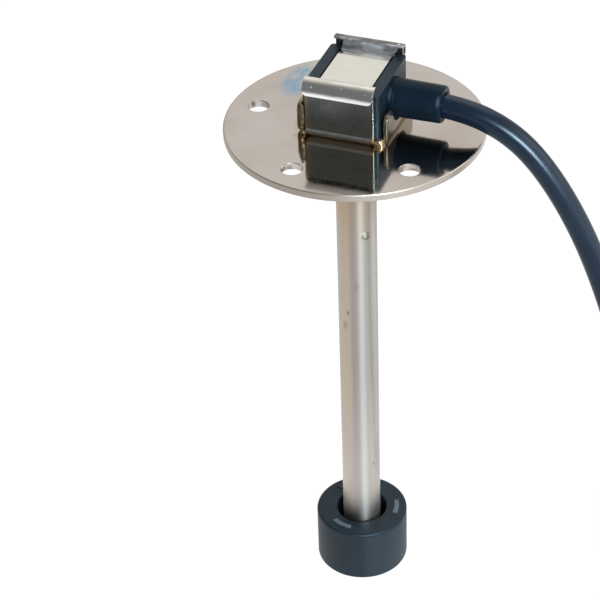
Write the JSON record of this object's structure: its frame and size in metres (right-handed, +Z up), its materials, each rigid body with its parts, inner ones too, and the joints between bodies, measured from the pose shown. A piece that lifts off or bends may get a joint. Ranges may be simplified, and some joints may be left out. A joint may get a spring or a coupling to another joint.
{
  "type": "fuel level sender",
  "caption": "Round steel flange with a straight stem below, a ring float sliding on it, and a strapped cable head on top; reads tank fuel level in steps.",
  "frame": {"origin": "centre of the flange's underside, on the stem's axis", "axes": "+Z up out of the tank along the stem, +X the way the cable leaves the head"},
  "size_m": [0.1781, 0.1027, 0.1712],
  "materials": {
    "polished_steel": "mirror polished stainless",
    "stem_steel": "drawn stainless, satin along its length",
    "folded_steel": "bright rolled stainless with heat tint at the welds",
    "spring_steel": "bright rolled spring stainless",
    "weld_metal": "fused bead with straw heat tint",
    "black_plastic": "fine moulded black",
    "gland_rubber": "smooth moulded black",
    "cable_jacket": "smooth black jacket with a soft sheen",
    "float_rubber": "fine closed-cell charcoal rubber",
    "magnet": "sintered grey-black",
    "potting": "set black compound",
    "pink_insulation": "smooth pink insulation",
    "black_insulation": "smooth black insulation",
    "tie_nylon": "black nylon",
    "circuit_board": "green solder mask",
    "reed_glass": "clear drawn glass",
    "resistor_ceramic": "black glazed chip"
  },
  "bodies": {
    "sender": {"flange_plate": "polished_steel", "stem_tube": "stem_steel", "stem_weld": "weld_metal", "stem_end_plug": "stem_steel", "float_stop_clip": "spring_steel", "head_bracket": "folded_steel", "bracket_welds": "weld_metal", "head_housing": "black_plastic", "spring_strap": "spring_steel", "cable_gland": "gland_rubber", "potting_fill": "potting", "core_pink": "pink_insulation", "core_black": "black_insulation", "reed_board": "circuit_board", "cable": "cable_jacket", "cable_coil": "cable_jacket", "cable_tie": "tie_nylon", "lead_pink": "pink_insulation", "lead_black": "black_insulation", "reed_switch_1": "reed_glass", "resistor_1": "resistor_ceramic", "reed_switch_2": "reed_glass", "resistor_2": "resistor_ceramic", "reed_switch_3": "reed_glass", "resistor_3": "resistor_ceramic", "reed_switch_4": "reed_glass", "resistor_4": "resistor_ceramic", "reed_switch_5": "reed_glass", "resistor_5": "resistor_ceramic", "reed_switch_6": "reed_glass", "resistor_6": "resistor_ceramic"},
    "float": {"float": "float_rubber", "float_magnet": "magnet"}
  },
  "joints": [
    {"name": "float_slide", "type": "slide", "parent": "sender", "child": "float", "axis": [0, 0, 1], "range_m": [0, 0.131]}
  ]
}
